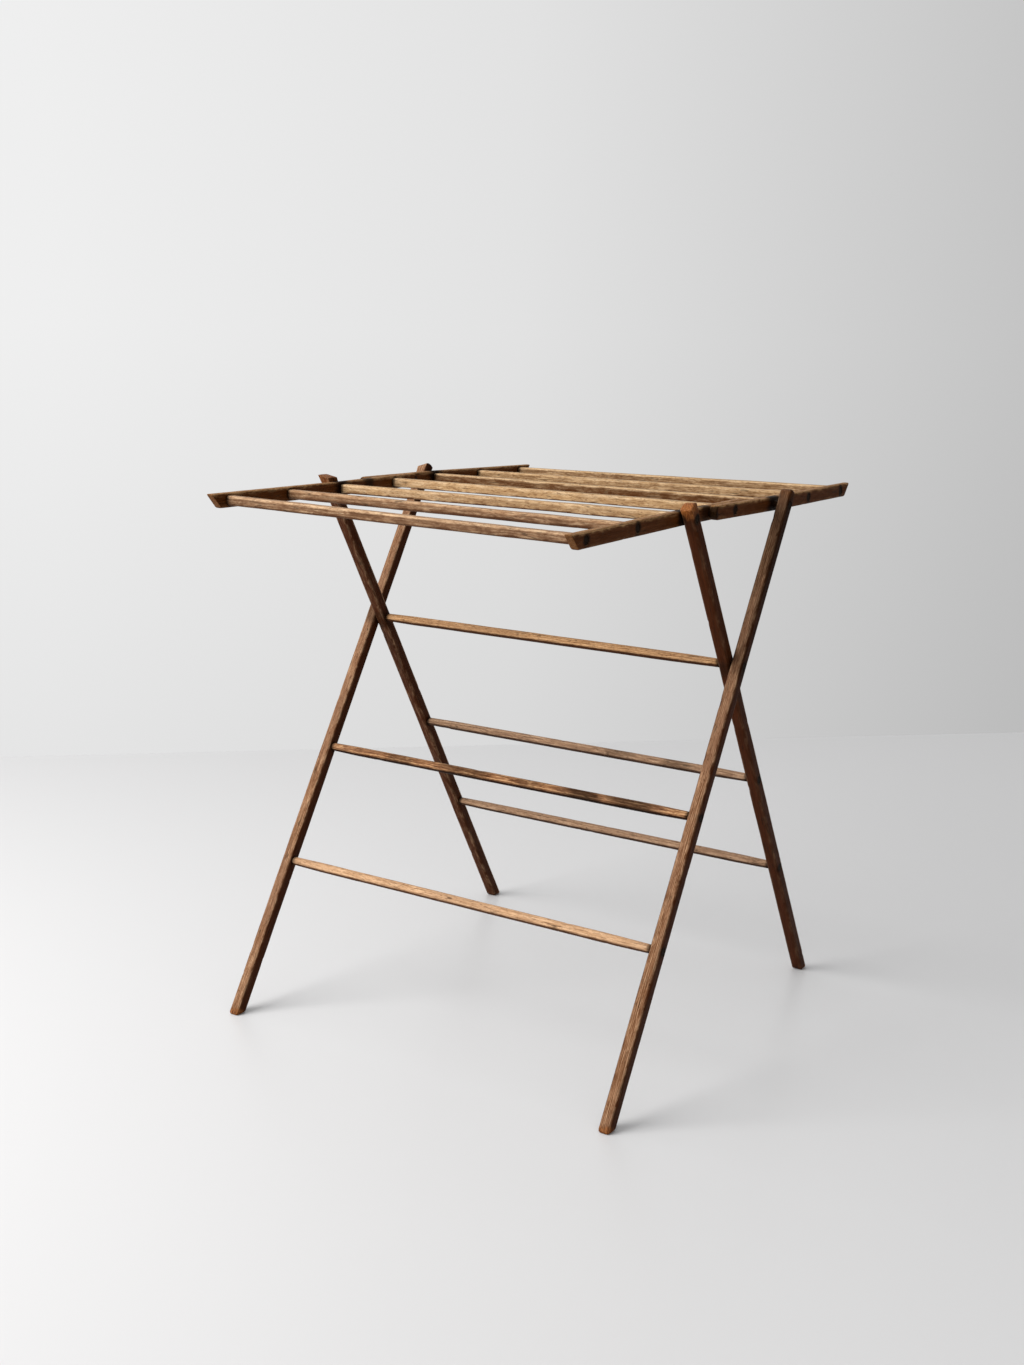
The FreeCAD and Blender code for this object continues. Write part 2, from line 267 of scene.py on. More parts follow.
def bore(piece, holes, reach):
    """Slightly uneven round holes across a stick, at (place along, radius), by one boolean."""
    cutter_mesh = bmesh.new()
    for number, (place, radius) in enumerate(holes):
        loops = []
        for side in (-reach, reach):
            loop = []
            for step in range(BORE_POINTS):
                angle = 2 * math.pi * step / BORE_POINTS
                uneven = radius * (1 + BORE_UNEVEN * math.sin(BORE_LOBES * angle + number))
                loop.append(cutter_mesh.verts.new(
                    (place + uneven * math.cos(angle), side, uneven * math.sin(angle))))
            loops.append(loop)
        for step in range(BORE_POINTS):
            following = (step + 1) % BORE_POINTS
            cutter_mesh.faces.new((loops[0][step], loops[0][following],
                                   loops[1][following], loops[1][step]))
        cutter_mesh.faces.new(loops[0])
        cutter_mesh.faces.new(loops[1])
    bmesh.ops.recalc_face_normals(cutter_mesh, faces=cutter_mesh.faces)
    mesh = bpy.data.meshes.new("cutter")
    cutter_mesh.to_mesh(mesh)
    cutter_mesh.free()
    cutter = bpy.data.objects.new("cutter", mesh)
    bpy.context.scene.collection.objects.link(cutter)
    cut = piece.modifiers.new("bores", "BOOLEAN")
    cut.operation = "DIFFERENCE"
    cut.solver = "EXACT"
    cut.object = cutter
    bpy.context.view_layer.update()
    result = bpy.data.meshes.new_from_object(
        piece.evaluated_get(bpy.context.evaluated_depsgraph_get()))
    piece.modifiers.clear()
    piece.data = result
    bpy.data.objects.remove(cutter)


# ---------------------------------------------------------------- painted wear and dirt, with painted light and shade

def smooth(low, high, value):
    """0 below low, 1 above high, and a smooth rise between."""
    share = np.clip((value - low) / (high - low), 0, 1)
    return share * share * (3 - 2 * share)


PATCHES_OF_WEAR = (28 * MM, 7 * MM)
# how lit and bleached a face is by the way it looks: bleaching, and in part painted light on
# tops and fronts and painted shade on sides
SIDE_LIGHT_AND_BLEACH = 0.3  # of a face that looks sideways
TOP_LIGHT_AND_BLEACH = 0.7  # how much more a face has that looks up
FRONT_LIGHT_AND_BLEACH = 0.22
TENON_LINE = 1 * MM  # a tenon turns black from this far inside its shoulder to as far beyond
EDGE_WEAR = (1.4, 1.8)  # wear starts and is full where the shares across and up add up to these
EDGE_RAGGED = 0.12
RING_CORE, RING_RAGGED = 0.55, 0.25
BAND_CORE, BAND_RAGGED = 0.35, 0.35
RUB_CORE, RUB_RAGGED = 0.3, 0.3
END_FACING = (0.6, 0.85)


def mark_strength(away, reach, strength, core, ragged):
    """How strong a mark is (dirt, painted shade or rubbed wood): full within its core, none
    beyond its reach, with a ragged edge.
    """
    return strength * (1 - smooth(core, 1.0, away / reach + ragged))


def paint(piece, place, half_y, half_z, seed, rings=(), bands=(), front_light_and_bleach=0.0, rubs=(),
          tenons_from=None, side_light_and_bleach=0.0):
    """Vertex values that the wood material reads: grain place, wear, bleaching with painted
    light and shade, dirt with painted shade where parts meet, ends and rubbed wood.

    rings lists (place along, radius, strength) of dirt and painted shade round a hole, bands
    the same across the whole stick, and rubs the same for wood rubbed back to its bright colour.
    The front lift is how much more than usual its front and back are bleached and lit by painted
    light, and the side lift the same at its sides, where below 0 it makes them darker as painted
    shade. Beyond tenons_from all is black with age. The mesh then moves to its place in the
    frame."""
    mesh = piece.data
    count = len(mesh.vertices)
    points = np.empty(count * 3)
    mesh.vertices.foreach_get("co", points)
    points = points.reshape(-1, 3)
    normals = np.empty(count * 3, np.float32)
    mesh.vertex_normals.foreach_get("vector", normals)
    normals = normals.reshape(-1, 3).astype(float)
    world = normals @ np.array(place.to_3x3()).T
    uneven = noise_at(points, *PATCHES_OF_WEAR, seed + 11)
    by_y, by_z = np.abs(points[:, 1]) / half_y, np.abs(points[:, 2]) / half_z
    wear = smooth(*EDGE_WEAR, by_y + by_z + EDGE_RAGGED * uneven)
    # bleaching with painted light and shade: faces that look up, to the front or to the back are
    # lighter, and faces that look sideways or down are darker
    lit_and_bleached = SIDE_LIGHT_AND_BLEACH + TOP_LIGHT_AND_BLEACH * world[:, 2]
    lit_and_bleached += (FRONT_LIGHT_AND_BLEACH + front_light_and_bleach) * np.abs(world[:, 1])
    lit_and_bleached += side_light_and_bleach * np.abs(world[:, 0])
    lit_and_bleached = np.clip(lit_and_bleached, 0, 1)
    # dirt, and painted shade where parts meet, in one value
    grime_and_shade = np.zeros(count)
    for at, reach, strength in rings:
        away = np.hypot(points[:, 0] - at, points[:, 2])
        dirt_and_shade = mark_strength(away, reach, strength, RING_CORE, RING_RAGGED * uneven)
        grime_and_shade = np.maximum(grime_and_shade, dirt_and_shade)
    for at, reach, strength in bands:
        away = np.abs(points[:, 0] - at)
        dirt_and_shade = mark_strength(away, reach, strength, BAND_CORE, BAND_RAGGED * uneven)
        grime_and_shade = np.maximum(grime_and_shade, dirt_and_shade)
    if tenons_from:
        beyond = np.abs(points[:, 0]) - tenons_from
        grime_and_shade = np.maximum(grime_and_shade, smooth(-TENON_LINE, TENON_LINE, beyond))
    rubbed = np.zeros(count)
    for at, reach, strength in rubs:
        away = np.abs(points[:, 0] - at)
        bare = mark_strength(away, reach, strength, RUB_CORE, RUB_RAGGED * uneven)
        rubbed = np.maximum(rubbed, bare)
    ends = smooth(*END_FACING, np.abs(normals[:, 0]))
    for title, values in (("wear", wear), ("lit_and_bleached", lit_and_bleached), ("grime_and_shade", grime_and_shade),
                          ("end_grain", ends), ("rubbed", rubbed)):
        layer = mesh.attributes.new(title, "FLOAT", "POINT")
        layer.data.foreach_set("value", values.astype(np.float32))
    layer = mesh.attributes.new("grain_place", "FLOAT_VECTOR", "POINT")
    layer.data.foreach_set("vector", points.astype(np.float32).ravel())
    mesh.transform(place)


# ---------------------------------------------------------------- materials

def linear(red, green, blue):
    """A colour given as it looks on a screen, from 0 to 255, as shader values."""
    def channel(value):
        share = value / 255
        return share / 12.92 if share <= 0.04045 else ((share + 0.055) / 1.055) ** 2.4
    return (channel(red), channel(green), channel(blue), 1)


def put(tree, kind, inputs=None, **settings):
    """A shader node with its inputs set or linked."""
    made = tree.nodes.new("ShaderNode" + kind)
    for key, value in settings.items():
        setattr(made, key, value)
    for key, value in (inputs or {}).items():
        socket = made.inputs[key]
        if isinstance(value, bpy.types.NodeSocket):
            tree.links.new(value, socket)
        else:
            socket.default_value = value
    return made


def stretched_noise(tree, coordinates, along, across, detail, roughness, distortion):
    """Noise with features this long along and across the grain, in metres."""
    scaled = put(tree, "VectorMath", {0: coordinates, 1: (1 / along, 1 / across, 1 / across)},
                 operation="MULTIPLY")
    return put(tree, "TexNoise", {"Vector": scaled.outputs[0], "Scale": 1.0, "Detail": detail,
                                  "Roughness": roughness, "Distortion": distortion}).outputs[0]


def remap(tree, value, low, high, to_low=0.0, to_high=1.0):
    """A smooth change from to_low to to_high as the value goes from low to high."""
    return put(tree, "MapRange", {"Value": value, "From Min": low, "From Max": high,
                                  "To Min": to_low, "To Max": to_high},
               interpolation_type="SMOOTHSTEP").outputs[0]


def blend(tree, factor, first, second):
    """The first colour where factor is 0 and the second where it is 1."""
    made = put(tree, "Mix", data_type="RGBA", blend_type="MIX")
    for index, value in ((0, factor), (6, first), (7, second)):
        if isinstance(value, bpy.types.NodeSocket):
            tree.links.new(value, made.inputs[index])
        else:
            made.inputs[index].default_value = value
    return made.outputs[2]


def product(tree, first, second):
    return put(tree, "Math", {0: first, 1: second}, operation="MULTIPLY").outputs[0]


def total(tree, first, second):
    return put(tree, "Math", {0: first, 1: second}, operation="ADD").outputs[0]


def painted(tree, name):
    """A value that paint gave the mesh."""
    return put(tree, "Attribute", attribute_name=name).outputs["Fac"]


# near-black brown of dirt, cracks and painted shade
SOOT_AND_SHADE = linear(18, 6, 1)
GREY_OF_AGE = linear(122, 98, 84)
RUBBED_BRIGHT = linear(186, 116, 60)
RUBBED_DIM = linear(104, 54, 22)
BLACK = (0, 0, 0, 1)
SEED_STEP = Vector((0.37, 0.071, 0.043))  # how far apart two seeds cut from the tree
# noise in the wood: length, width, detail, roughness and distortion
FIBRES = (38 * MM, 1.9 * MM, 6, 0.75, 0.15)
STREAKS = (120 * MM, 5 * MM, 4, 0.6, 0.4)
PORES = (8 * MM, 0.6 * MM, 2, 0.5, 0.0)
BLOTCHES = (24 * MM, 7 * MM, 6, 0.7, 0.4)
PATCHES = (190 * MM, 60 * MM, 3, 0.5, 0.0)
FLECKS = (7 * MM, 1.8 * MM, 3, 0.6, 0.3)
RING_DRAW = (0.2, 1, 1)  # growth rings are drawn out along the stick
CELL_SCALE = (18, 190, 190)
CELL_BEND = (1.3, 1.3, 1.3)
CRACK_STRENGTH = 0.7
TONE_MIDDLE = 0.5
TONE_REACH = 0.14  # from the middle to the darkest and lightest tones
MID_TONE_AT = 0.49
DRY_ROUGHNESS = 0.64
WORN_ROUGHNESS = 0.44


def growth_rings(tree, own, seed):
    """Growth rings of a tree whose heart lies beside the stick."""
    pith = Vector((0, 0.035 + 0.006 * (seed % 5), -0.05 + 0.011 * (seed % 7)))
    from_pith = put(tree, "VectorMath", {0: own, 1: pith}, operation="ADD").outputs[0]
    drawn_out = put(tree, "VectorMath", {0: from_pith, 1: RING_DRAW},
                    operation="MULTIPLY").outputs[0]
    return put(tree, "TexWave", {"Vector": drawn_out, "Scale": 120.0, "Distortion": 7.0,
                                 "Detail": 4.0, "Detail Scale": 0.7, "Detail Roughness": 0.6,
                                 "Phase Offset": float(seed)},
               wave_type="RINGS", rings_direction="X", wave_profile="SIN").outputs[0]


def crack_lines(tree, coordinates, blotches):
    """Thin cracks along the edges of long bent cells, in some of the blotches."""
    scaled = put(tree, "VectorMath", {0: coordinates, 1: CELL_SCALE},
                 operation="MULTIPLY").outputs[0]
    bend = put(tree, "TexNoise", {"Vector": scaled, "Scale": 0.9, "Detail": 4.0}).outputs[1]
    bent = put(tree, "VectorMath", {0: bend, 1: CELL_BEND, 2: scaled},
               operation="MULTIPLY_ADD").outputs[0]
    cells = put(tree, "TexVoronoi", {"Vector": bent, "Scale": 0.5, "Randomness": 1.0},
                feature="DISTANCE_TO_EDGE").outputs[0]
    thin = remap(tree, cells, 0.01, 0.07, 1.0, 0.0)
    return product(tree, thin, remap(tree, blotches, 0.5, 0.6, 0.0, CRACK_STRENGTH))


def wood(name, seed, deep, dark, mid, light, blotch=0.3, contrast=1.0):
    """Old oak-like wood: rings, fibres, pores, cracks, weathered blotches, worn edges, dirt,
    and painted light and shade.

    deep is the tone of pores, flecks and unbleached wood, and of faces painted in shade. blotch
    is how grey its patches are, and contrast how far its tones lie apart."""
    material = bpy.data.materials.new(name)
    material.use_nodes = True
    tree = material.node_tree
    tree.nodes.clear()
    own = put(tree, "Attribute", attribute_name="grain_place").outputs["Vector"]
    shift = SEED_STEP * seed
    coordinates = put(tree, "VectorMath", {0: own, 1: shift}, operation="ADD").outputs[0]
    rings = growth_rings(tree, own, seed)
    fibres = stretched_noise(tree, coordinates, *FIBRES)
    streaks = stretched_noise(tree, coordinates, *STREAKS)
    pores = stretched_noise(tree, coordinates, *PORES)
    blotches = stretched_noise(tree, coordinates, *BLOTCHES)
    patches = stretched_noise(tree, coordinates, *PATCHES)
    crack = crack_lines(tree, coordinates, blotches)

    # tones: grain, streaks, greyed patches, then bleaching with painted light and shade, wear
    # and dirt
    grain = total(tree, product(tree, rings, 0.12), product(tree, fibres, 0.58))
    grain = total(tree, grain, product(tree, blotches, 0.3))
    tone = put(tree, "ValToRGB", {0: grain})
    ramp = tone.color_ramp
    ramp.elements[0].position = TONE_MIDDLE - TONE_REACH / contrast
    ramp.elements[0].color = dark
    ramp.elements[1].position = TONE_MIDDLE + TONE_REACH / contrast
    ramp.elements[1].color = light
    ramp.elements.new(MID_TONE_AT).color = mid
    colour = tone.outputs[0]
    colour = blend(tree, remap(tree, streaks, 0.5, 0.68, 0.0, 0.35 * contrast), colour,
                   blend(tree, 0.6, mid, dark))
    greyed = blend(tree, 0.5, mid, GREY_OF_AGE)
    colour = blend(tree, remap(tree, patches, 0.44, 0.6, 0.0, blotch), colour, greyed)
    # faces that look sideways or down take the deep tone as painted shade, and faces that look
    # up, front or back are bleached and lit by painted light
    shaded_unbleached = blend(tree, remap(tree, fibres, 0.36, 0.66), blend(tree, 0.45, deep, BLACK), deep)
    lit_and_bleached_mottled = total(tree, painted(tree, "lit_and_bleached"),
                   remap(tree, blotches, 0.34, 0.66, -0.08, 0.08))
    colour = blend(tree, remap(tree, lit_and_bleached_mottled, 0.28, 0.8), shaded_unbleached, colour)
    worn = product(tree, painted(tree, "wear"), remap(tree, blotches, 0.4, 0.62, 0.05, 0.65))
    colour = blend(tree, product(tree, worn, remap(tree, lit_and_bleached_mottled, 0.2, 0.6, 0.25, 1.0)),
                   colour, light)
    colour = blend(tree, remap(tree, pores, 0.6, 0.7, 0.0, 0.5), colour, deep)
    flecks = stretched_noise(tree, coordinates, *FLECKS)
    colour = blend(tree, remap(tree, flecks, 0.53, 0.68, 0.0, 0.55), colour, deep)
    ends = blend(tree, remap(tree, fibres, 0.35, 0.65), dark, mid)
    colour = blend(tree, painted(tree, "end_grain"), colour, ends)
    bright = blend(tree, remap(tree, flecks, 0.35, 0.65), RUBBED_BRIGHT, RUBBED_DIM)
    colour = blend(tree, painted(tree, "rubbed"), colour, bright)
    colour = blend(tree, product(tree, crack, 0.9), colour, SOOT_AND_SHADE)
    # dirt, with painted shade where parts meet, turns the wood near-black
    dirt_and_shade = product(tree, painted(tree, "grime_and_shade"), remap(tree, fibres, 0.25, 0.7, 1.0, 0.98))
    colour = blend(tree, dirt_and_shade, colour, SOOT_AND_SHADE)

    # relief and gloss
    height = total(tree, product(tree, fibres, 0.5), product(tree, crack, -1.0))
    height = total(tree, height, product(tree, remap(tree, pores, 0.58, 0.7), -0.35))
    relief = put(tree, "Bump", {"Strength": 0.6, "Distance": 0.5 * MM, "Height": height})
    roughness = remap(tree, fibres, 0.3, 0.7, DRY_ROUGHNESS, WORN_ROUGHNESS)
    shader = put(tree, "BsdfPrincipled", {
        "Base Color": colour, "Roughness": roughness,
        "Specular IOR Level": 0.06,
        "Specular Tint": (1.0, 0.66, 0.4, 1),
        "Normal": relief.outputs[0]})
    put(tree, "OutputMaterial", {"Surface": shader.outputs[0]})
    return material


# ---------------------------------------------------------------- warp, and fitting a piece

WARP_FROM = abs(FRONT_PIVOT.y)  # the top is true between its two pivots
TIP_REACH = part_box("rear_rail_right")[1].y
HALF_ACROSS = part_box("front_rail_right")[1].x
TIP_TWIST = 4 * MM  # how far a tip is from level
LEFT_SHIFT = 7 * MM  # how far the front half's left side has moved back
SHIFT_OVER = 145 * MM  # over this length the shift grows


def warp_top(mesh):
    """Twist the outer parts of the two halves and set them out of square, as age does."""
    count = len(mesh.vertices)
    points = np.empty(count * 3)
    mesh.vertices.foreach_get("co", points)
    points = points.reshape(-1, 3)
    x, y = points[:, 0] / HALF_ACROSS, points[:, 1].copy()
    beyond = np.clip(np.abs(y) - WARP_FROM, 0, None)
    points[:, 2] += TIP_TWIST * np.sign(y) * x * beyond / (TIP_REACH - WARP_FROM)
    share = np.clip(beyond / SHIFT_OVER, 0, 1) * np.clip(0.5 - 0.5 * x, 0, 1)
    points[:, 1] += np.where(y < 0, LEFT_SHIFT * share, 0)
    mesh.vertices.foreach_set("co", points.ravel())
    mesh.update()


def keep(piece, body, slot_name, *nodes):
    """Put a finished piece on its body, in the stead of its CAD nodes."""
    if body in ("front_half", "rear_half"):
        warp_top(piece.data)
    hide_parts(*nodes)
    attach(piece, body)


# ---------------------------------------------------------------- the legs

BROWN = {"deep": linear(68, 31, 11), "dark": linear(84, 52, 30), "mid": linear(124, 86, 60),
         "light": linear(180, 145, 113)}
SKIN = 0.1 * MM  # how far the wood stays inside the frame's faces
LEG_EDGE = 5.2 * MM
LEG_THICKNESS = size("outer_leg_right").x
LEG_WIDTH = 22 * MM
LEG_HEAD = 27 * MM
FOOT_ROUND = 4.6 * MM
HEAD_BLEND = 30 * MM  # over this length the edges change to those of the top
HEAD_EDGE_SHARE = 1.6  # of a top's rounding, for the edges that run into it
LEVEL_DROP = 2 * MM  # how much lower a level top is cut
BORE_RADIUS = 6.3 * MM
EDGE_WAVE = 0.8 * MM
EDGE_WAVE_LENGTH = 90 * MM
WAVER = 0.3 * MM
RIDGES = 0.1 * MM
LEG_CHIPS = 16


def make_leg(name, body, toward, rungs, seed, crown, cant, head_round, shade=0.0, front_light_and_bleach=0.0,
             level=0.0, rub=0.0, side_light_and_bleach=0.0):
    """A leg from its sole to its worn top. toward is the pivot at its upper end.

    crown is the rise of its rounded top, cant the top's slope across the rack and head_round
    its rounding. shade is how much darker its upper half is made. Its front and side lifts are
    as paint takes them: bleaching, with painted light and shade. level turns its top from square
    with the leg (0) to level with the floor (1), and rub is how far the top is rubbed back to
    bright wood."""
    low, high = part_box(name)
    along = (toward - CROSSING).normalized()
    origin = Vector(((low.x + high.x) / 2, CROSSING.y, CROSSING.z))
    place = local_frame(origin, along, FRONT)
    rise, lean = along.z, place.col[2].z
    outboard = math.copysign(1, origin.x) * place.col[1].x
    half_y, half_z = LEG_THICKNESS / 2 - SKIN, LEG_WIDTH / 2 - SKIN
    slope = -level * lean / rise
    tilted = abs(lean) * half_z * (1 - level)
    lean_share = min(tilted / (2 * crown * rise), 1)
    over = tilted * lean_share - rise * crown * lean_share ** 2
    over += LEVEL_DROP * level
    top = min((toward - CROSSING).length + LEG_HEAD, (high.z - CROSSING.z - over) / rise) - SKIN
    sole = -CROSSING.z / rise

    def sole_at(y, z):
        return sole + SKIN - z * lean / rise

    def crown_at(y, z):
        lower = half_y * abs(cant) - cant * outboard * y
        return top - crown * (z / half_z) ** 2 - lower + slope * z

    head_edge = min(head_round * HEAD_EDGE_SHARE, LEG_EDGE)

    def sizes(at):
        edge = LEG_EDGE + EDGE_WAVE * noise.noise((at / EDGE_WAVE_LENGTH, seed, 0))
        share = min(max((top - at) / HEAD_BLEND, 0), 1)
        return half_y, half_z, head_edge + (edge - head_edge) * share

    stick = Stick()
    stick.round_end(sole, -1, sizes(sole), FOOT_ROUND)
    stick.run(sole + FOOT_ROUND + STEP, top - head_round - STEP, sizes)
    stick.round_end(top, 1, sizes(top), head_round)
    points = shape_rings(stick, seed, WAVER, RIDGES, LEG_CHIPS, sole_at, crown_at)
    piece = mesh_from(name + "_wood", points, sole_at, crown_at)
    joints = [(middle(rung) - origin).dot(along) for rung in rungs]
    bore(piece, [(at, BORE_RADIUS) for at in joints], LEG_THICKNESS)
    finish_normals(piece)
    # the band at the crossing and the rings at the joints are dirt with painted shade where
    # parts meet; the band at the top darkens the upper half
    paint(piece, place, half_y, half_z, seed,
          rings=[(at, 11 * MM, 0.85) for at in joints],
          bands=[(0, 24 * MM, 0.5), (top, 400 * MM, shade), (sole, 12 * MM, 0.3)],
          front_light_and_bleach=front_light_and_bleach, side_light_and_bleach=side_light_and_bleach,
          rubs=[(top, 24 * MM, rub), (sole, 9 * MM, 0.6)])
    piece.data.materials.append(wood(name + "_wood", seed, **BROWN, blotch=0.35, contrast=1.05))
    keep(piece, body, "leg_wood", name)


OUTER_RUNGS = ("leg_pivot_rung", "rear_pivot_rung", "outer_leg_upper_rung",
               "outer_leg_lower_rung")
INNER_RUNGS = ("leg_pivot_rung", "front_pivot_rung", "inner_leg_upper_rung",
               "inner_leg_lower_rung")
# the sides of the outer legs are painted darker, in part as painted shade
make_leg("outer_leg_left", "outer_legs", REAR_PIVOT, OUTER_RUNGS, seed=11, crown=3 * MM,
         cant=-0.4, head_round=1.4 * MM, front_light_and_bleach=0.2, side_light_and_bleach=-0.55)
make_leg("outer_leg_right", "outer_legs", REAR_PIVOT, OUTER_RUNGS, seed=12, crown=5 * MM,
         cant=0, head_round=4.2 * MM, shade=0.6, rub=0.25, side_light_and_bleach=-0.5)
make_leg("inner_leg_left", "inner_legs", FRONT_PIVOT, INNER_RUNGS, seed=21, crown=0.5 * MM,
         cant=0.25, head_round=0.8 * MM, front_light_and_bleach=0.3, level=1.0, rub=0.3)
make_leg("inner_leg_right", "inner_legs", FRONT_PIVOT, INNER_RUNGS, seed=22, crown=3 * MM,
         cant=0.1, head_round=2.0 * MM, rub=0.55)


# ---------------------------------------------------------------- the rails

RAIL_BROWN = {"deep": linear(86, 44, 14), "dark": linear(92, 56, 28),
              "mid": linear(138, 98, 60), "light": linear(190, 150, 106)}
RAIL_THICKNESS = size("front_rail_right").x
RAIL_HEIGHT = 24 * MM
RAIL_EDGE = 3.2 * MM
RAIL_UNDERCUT = 22 * MM
RAIL_END_ROUND = 1.6 * MM
RAIL_WAVE = 0.7 * MM
RAIL_WAVE_LENGTH = 60 * MM
RAIL_CHIPS = 12


def make_rail(name, body, outward, pivot, rungs, seed, stains):
    """A rail from its round end, past the hinge, to its undercut outer end.

    stains lists further bands of dirt and painted shade, as paint takes them."""
    low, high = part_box(name)
    along = (pivot - HINGE).normalized()
    origin = Vector(((low.x + high.x) / 2, HINGE.y, HINGE.z))
    place = local_frame(origin, along, UP)
    half_y, half_z = RAIL_THICKNESS / 2 - SKIN, RAIL_HEIGHT / 2 - SKIN
    tip = (high.y if outward > 0 else -low.y) / abs(along.y) - SKIN
    heel = (low.y if outward > 0 else -high.y) / abs(along.y) + SKIN

    def heel_at(y, z):
        return heel + half_z - np.sqrt(np.clip(half_z ** 2 - z ** 2, 0, None))

    def tip_at(y, z):
        return tip - RAIL_UNDERCUT * (0.5 - z / RAIL_HEIGHT)

    def sizes(at):
        wave = RAIL_WAVE * noise.noise((at / RAIL_WAVE_LENGTH, seed, 0))
        return half_y, half_z, RAIL_EDGE + wave

    stick = Stick()
    stick.round_end(heel, -1, sizes(heel), RAIL_END_ROUND)
    stick.run(heel + RAIL_END_ROUND + STEP, tip - RAIL_END_ROUND - STEP, sizes)
    stick.round_end(tip, 1, sizes(tip), RAIL_END_ROUND)
    points = shape_rings(stick, seed, WAVER, RIDGES, RAIL_CHIPS, heel_at, tip_at)
    piece = mesh_from(name + "_wood", points, heel_at, tip_at)
    joints = [(middle(rung) - origin).dot(along) for rung in rungs]
    bore(piece, [(at, BORE_RADIUS) for at in joints], RAIL_THICKNESS)
    finish_normals(piece)
    # the rings at the joints, the band round the pivot where a leg lies against the rail and the
    # band at the heel are dirt with painted shade
    paint(piece, place, half_y, half_z, seed,
          rings=[(at, 12 * MM, 0.92) for at in joints],
          bands=[((pivot - origin).dot(along), 30 * MM, 0.97), (heel, 8 * MM, 0.95)] + stains)
    piece.data.materials.append(
        wood(name + "_wood", seed, **RAIL_BROWN, blotch=0.0, contrast=0.9))
    keep(piece, body, "rail_wood", name)


FRONT_RUNGS = ("hinge_rung", "front_pivot_rung", "front_middle_rung", "front_edge_rung")
REAR_RUNGS = ("hinge_rung", "rear_pivot_rung", "rear_middle_rung", "rear_edge_rung")
# dirt and painted shade on the front rail beside the heel of the rear rail
HEEL_DIRT_AND_SHADE = (HINGE.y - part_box("rear_rail_right")[0].y + 6 * MM, 20 * MM, 0.8)
for number, side in enumerate(("left", "right")):
    make_rail("front_rail_" + side, "front_half", -1, FRONT_PIVOT, FRONT_RUNGS, 31 + number,
              [HEEL_DIRT_AND_SHADE])
    make_rail("rear_rail_" + side, "rear_half", 1, REAR_PIVOT, REAR_RUNGS, 41 + number, [])


# ---------------------------------------------------------------- the rungs

HONEY = {"deep": linear(82, 46, 20), "dark": linear(138, 102, 66),
         "mid": linear(178, 144, 104), "light": linear(212, 184, 148)}
DULL = {"deep": linear(86, 54, 34), "dark": linear(112, 80, 54), "mid": linear(162, 126, 94),
        "light": linear(216, 186, 150)}
PALE_ROUND = {"deep": linear(86, 54, 34), "dark": linear(128, 92, 64),
              "mid": linear(188, 148, 112), "light": linear(230, 194, 156)}
BROWN_ROUND = {"deep": linear(66, 36, 18), "dark": linear(106, 72, 46),
               "mid": linear(162, 122, 84), "light": linear(208, 168, 126)}
GREY_ROUND = {"deep": linear(68, 46, 34), "dark": linear(104, 80, 64),
              "mid": linear(148, 116, 90), "light": linear(194, 162, 134)}
DARK_ROUND = {"deep": linear(44, 20, 8), "dark": linear(80, 46, 26),
              "mid": linear(138, 96, 64), "light": linear(206, 162, 118)}
TENON = 5.85 * MM
TENON_SIZES = (TENON, TENON, TENON)
TENON_RECESS = 0.7 * MM  # how far its end lies inside the face round it
TENON_ROUND = 0.6 * MM
TENON_ROUGH = 0.1
TENON_END_ROUGH = 0.2
SHOULDER_ROUND = 1.8 * MM
RUNG_RIDGES = 0.14 * MM


def start_tenon(stick, place, until):
    """A round tenon from its end face, at the low end of a stick, to a place along it."""
    stick.round_end(place, -1, TENON_SIZES, TENON_ROUND, TENON_END_ROUGH)
    stick.run(place + TENON_ROUND + STEP, until, lambda at: TENON_SIZES, TENON_ROUGH)


def make_rung(name, body, slot_name, shoulder, sizes, colours, seed, chips=14, waver=0.5,
              front_light_and_bleach=0.0, contrast=0.8, stains=()):
    """A rung with round tenons from its shoulders outwards.

    sizes(at) gives its half sizes and edge radius. stains lists bands of dirt, and its lift is
    its bleaching with painted light and shade, as paint takes them."""
    low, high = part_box(name)
    place = local_frame(middle(name), RIGHT, UP)
    tip = (high.x - low.x) / 2 - TENON_RECESS
    stick = Stick()
    start_tenon(stick, -tip, -shoulder)
    stick.round_end(-shoulder, -1, sizes(-shoulder), SHOULDER_ROUND)
    stick.run(-shoulder + SHOULDER_ROUND + STEP, shoulder - SHOULDER_ROUND - STEP, sizes)
    stick.round_end(shoulder, 1, sizes(shoulder), SHOULDER_ROUND)
    stick.run(shoulder, tip - TENON_ROUND - STEP, lambda at: TENON_SIZES, TENON_ROUGH)
    stick.round_end(tip, 1, TENON_SIZES, TENON_ROUND, TENON_END_ROUGH)
    points = shape_rings(stick, seed, waver * MM, RUNG_RIDGES, chips)
    piece = mesh_from(name + "_wood", points)
    finish_normals(piece)
    half_y, half_z, _ = sizes(0)
    # the bands at the shoulders are dirt and painted shade where the rung meets the rail or leg
    ends = [(side * shoulder, 7 * MM, 0.8) for side in (-1, 1)]
    paint(piece, place, half_y, half_z, seed, bands=ends + list(stains), front_light_and_bleach=front_light_and_bleach,
          tenons_from=shoulder)
    piece.data.materials.append(wood(name + "_wood", seed, **colours, contrast=contrast))
    keep(piece, body, slot_name, name)


def inner_face(node):
    """How far the inboard face of a right-hand leg or rail is from the middle."""
    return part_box(node)[0].x


